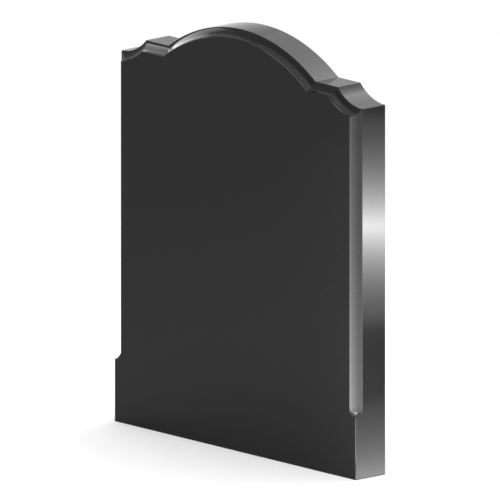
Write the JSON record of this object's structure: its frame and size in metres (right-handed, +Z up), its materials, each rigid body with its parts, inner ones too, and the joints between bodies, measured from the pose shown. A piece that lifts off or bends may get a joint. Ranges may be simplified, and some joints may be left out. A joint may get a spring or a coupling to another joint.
{
  "type": "headstone",
  "caption": "Upright polished black stone headstone slab with an arched head, level fillets, hollow shoulders and a coved front edge that stops above the foot.",
  "frame": {"origin": "centre of the underside, on the surface the slab stands on", "axes": "+Z up towards the crown of the arch, -Y out of the front face, +X to the viewer's right when facing the front"},
  "size_m": [0.72, 0.08, 0.86],
  "materials": {
    "polished_stone": "polished"
  },
  "bodies": {
    "root": {"headstone": "polished_stone"}
  },
  "joints": []
}
